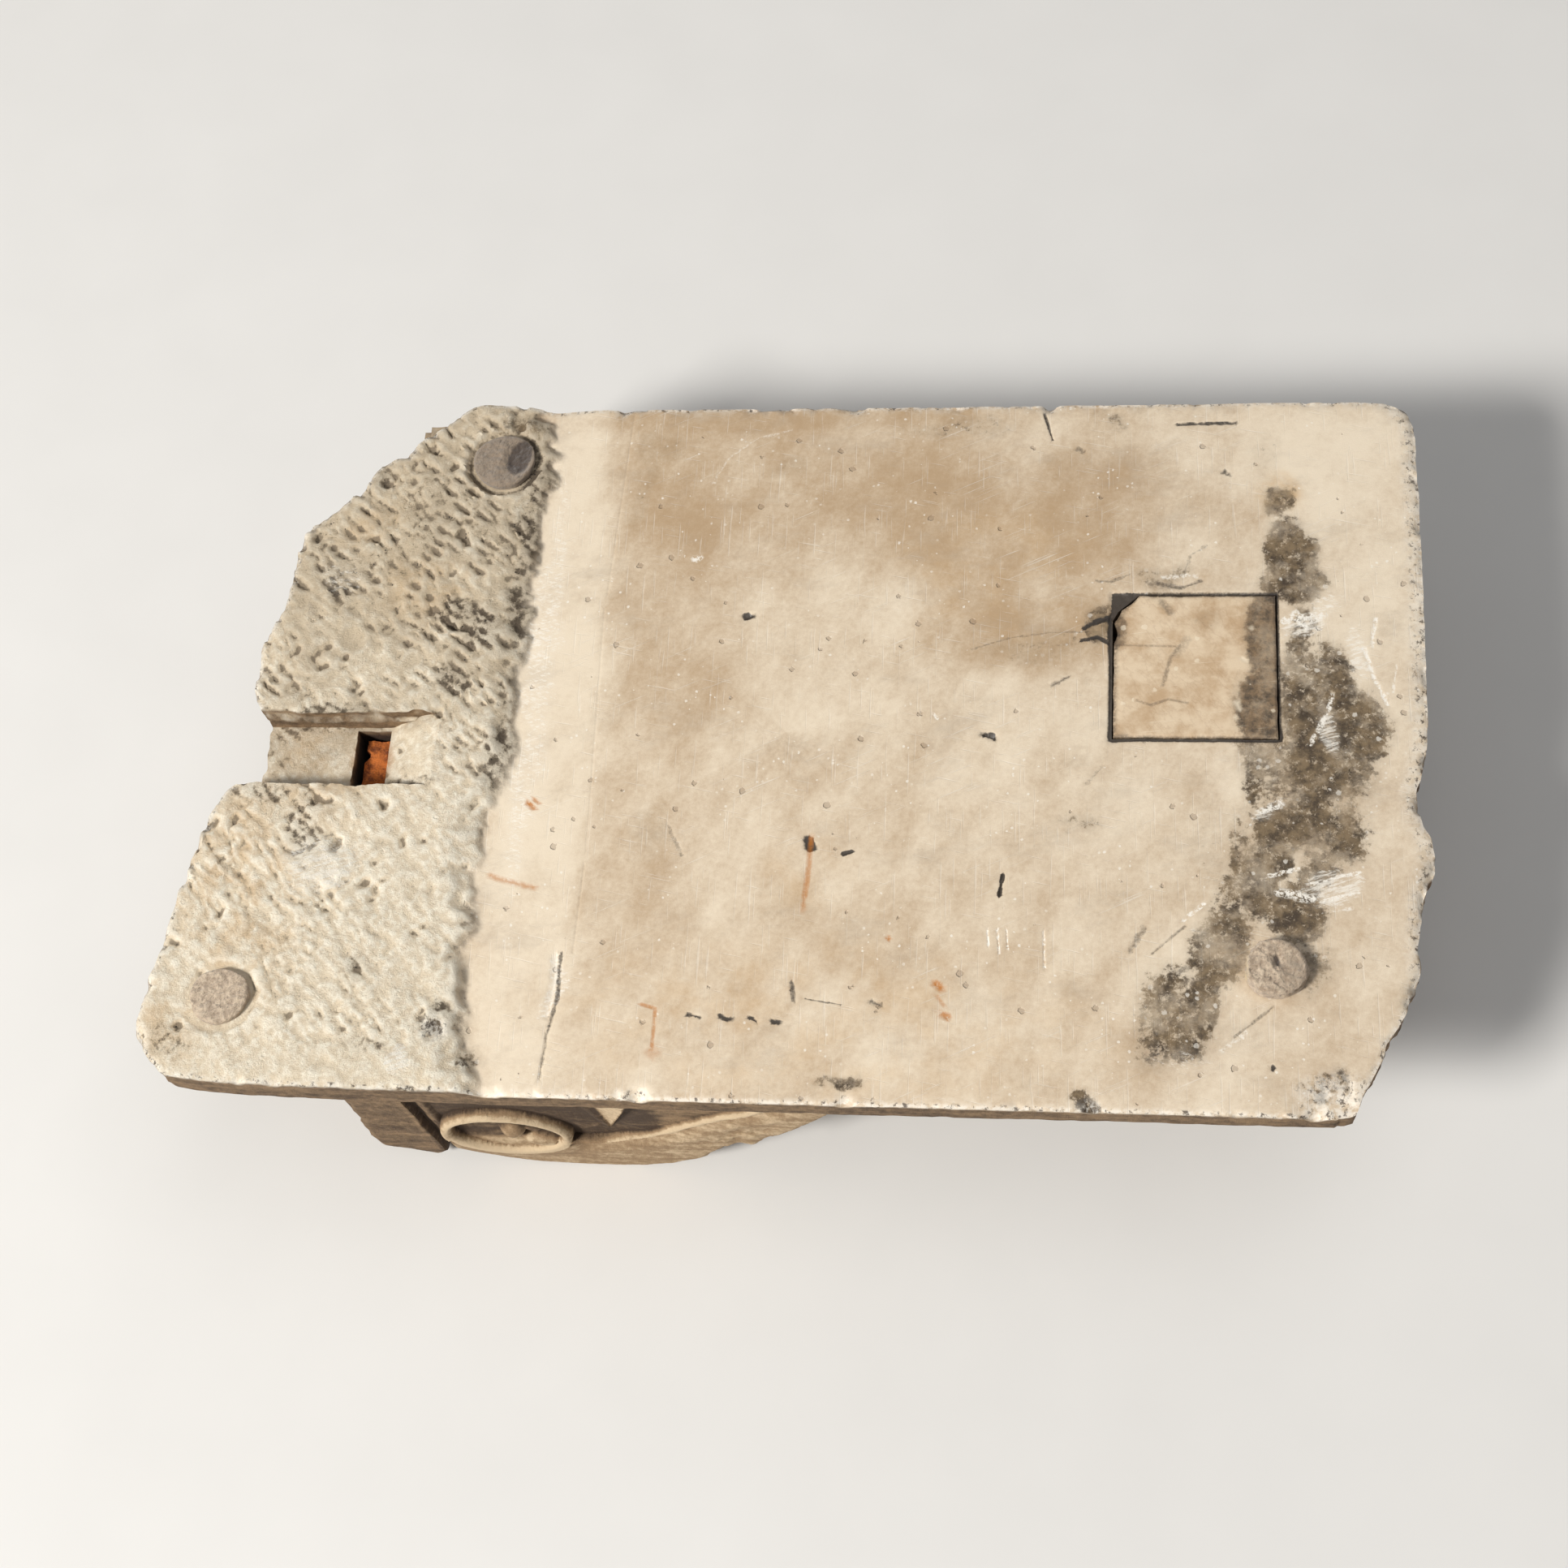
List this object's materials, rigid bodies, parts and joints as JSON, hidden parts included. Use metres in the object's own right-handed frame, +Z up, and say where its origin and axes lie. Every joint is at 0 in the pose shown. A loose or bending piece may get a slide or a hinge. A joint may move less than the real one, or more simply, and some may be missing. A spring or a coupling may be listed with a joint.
{
  "type": "marble modillion",
  "caption": "Carved marble modillion: a flat slab over a scrolled bracket, with a rough broken tail, a cramp cutting and a square plug let into its bed.",
  "frame": {"origin": "on the smooth upper bed, midway between the two sides", "axes": "+Z up out of the bed, +X from the tail in the wall towards the front, +Y towards the far side"},
  "size_m": [0.479, 0.296, 0.1016],
  "materials": {
    "cream_marble": "weathered, smooth-worked bed with a rough point-dressed tail",
    "plug_marble": "smooth, partly stained",
    "rusted_iron": "flaking rust",
    "grey_felt": "thick hand-cut felt"
  },
  "bodies": {
    "root": {"marble_block": "cream_marble", "square_plug": "plug_marble", "iron_dowel": "rusted_iron", "felt_foot_tail_far": "grey_felt", "felt_foot_tail_near": "grey_felt", "felt_foot_front": "grey_felt"}
  },
  "joints": []
}
